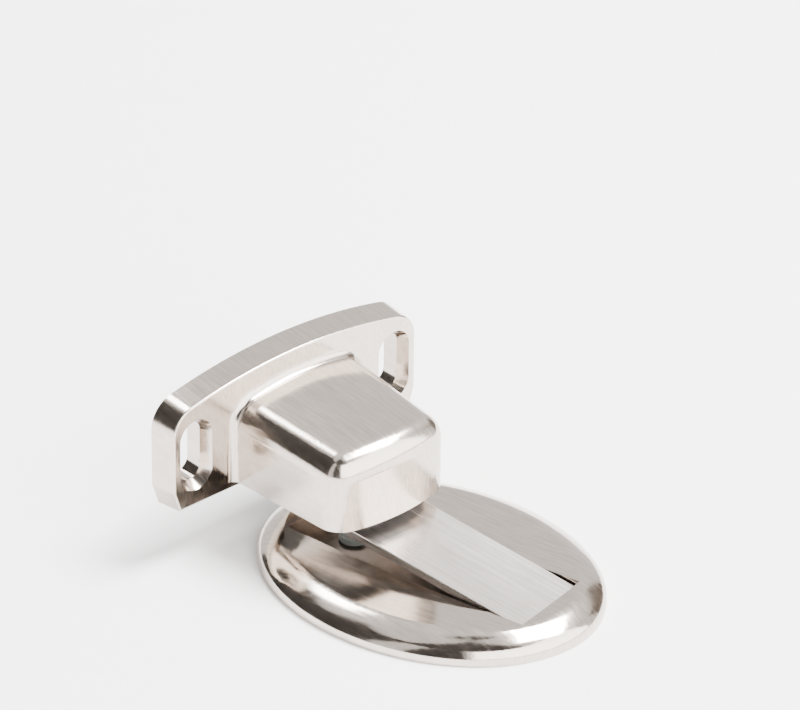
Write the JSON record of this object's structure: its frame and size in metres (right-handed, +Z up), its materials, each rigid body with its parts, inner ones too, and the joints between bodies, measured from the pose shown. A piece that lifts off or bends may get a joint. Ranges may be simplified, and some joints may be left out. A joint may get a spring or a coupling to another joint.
{
  "type": "door holder",
  "caption": "Magnetic floor door holder: an oval floor plate whose pivoting tongue is pulled up by a magnet in a hollow bracket head on the door.",
  "frame": {"origin": "centre of the oval floor unit's underside, on the floor", "axes": "+Z up; +Y towards the door, square to the back of the door bracket; +X along the door"},
  "size_m": [0.06, 0.0747, 0.0347],
  "materials": {
    "nickel_cast": "satin",
    "nickel_flap": "satin",
    "steel": "satin",
    "magnet": "gloss",
    "plastic": "matte",
    "buffer": "matte",
    "foam": "matte"
  },
  "bodies": {
    "floor_unit": {"floor_plate": "nickel_cast", "base_plate": "steel", "base_screw_1": "steel", "base_screw_2": "steel", "base_screw_3": "steel", "base_screw_4": "steel", "floor_tape": "foam", "hinge_pin": "steel", "tongue_buffer": "buffer"},
    "tongue": {"tongue": "nickel_flap"},
    "door_unit": {"door_bracket": "nickel_cast", "door_tape": "foam", "magnet_cover": "plastic", "cover_screw_1": "steel", "cover_screw_2": "steel", "magnet_cup": "steel", "head_magnet": "magnet", "magnet_screw": "steel"}
  },
  "joints": [
    {"name": "door_slide", "type": "slide", "parent": "floor_unit", "child": "door_unit", "axis": [0, 1, 0], "range_m": [0, 0.045]},
    {"name": "tongue_hinge", "type": "hinge", "parent": "floor_unit", "child": "tongue", "pos_m": [0.00376, -0.01883, 0.00285], "axis": [0.9806, 0.1959, 0], "range_deg": [-8.5, 0]}
  ],
  "couplings": [
    {"joint": "tongue_hinge", "follows": "door_slide", "rad_per_m": -3.2964}
  ]
}
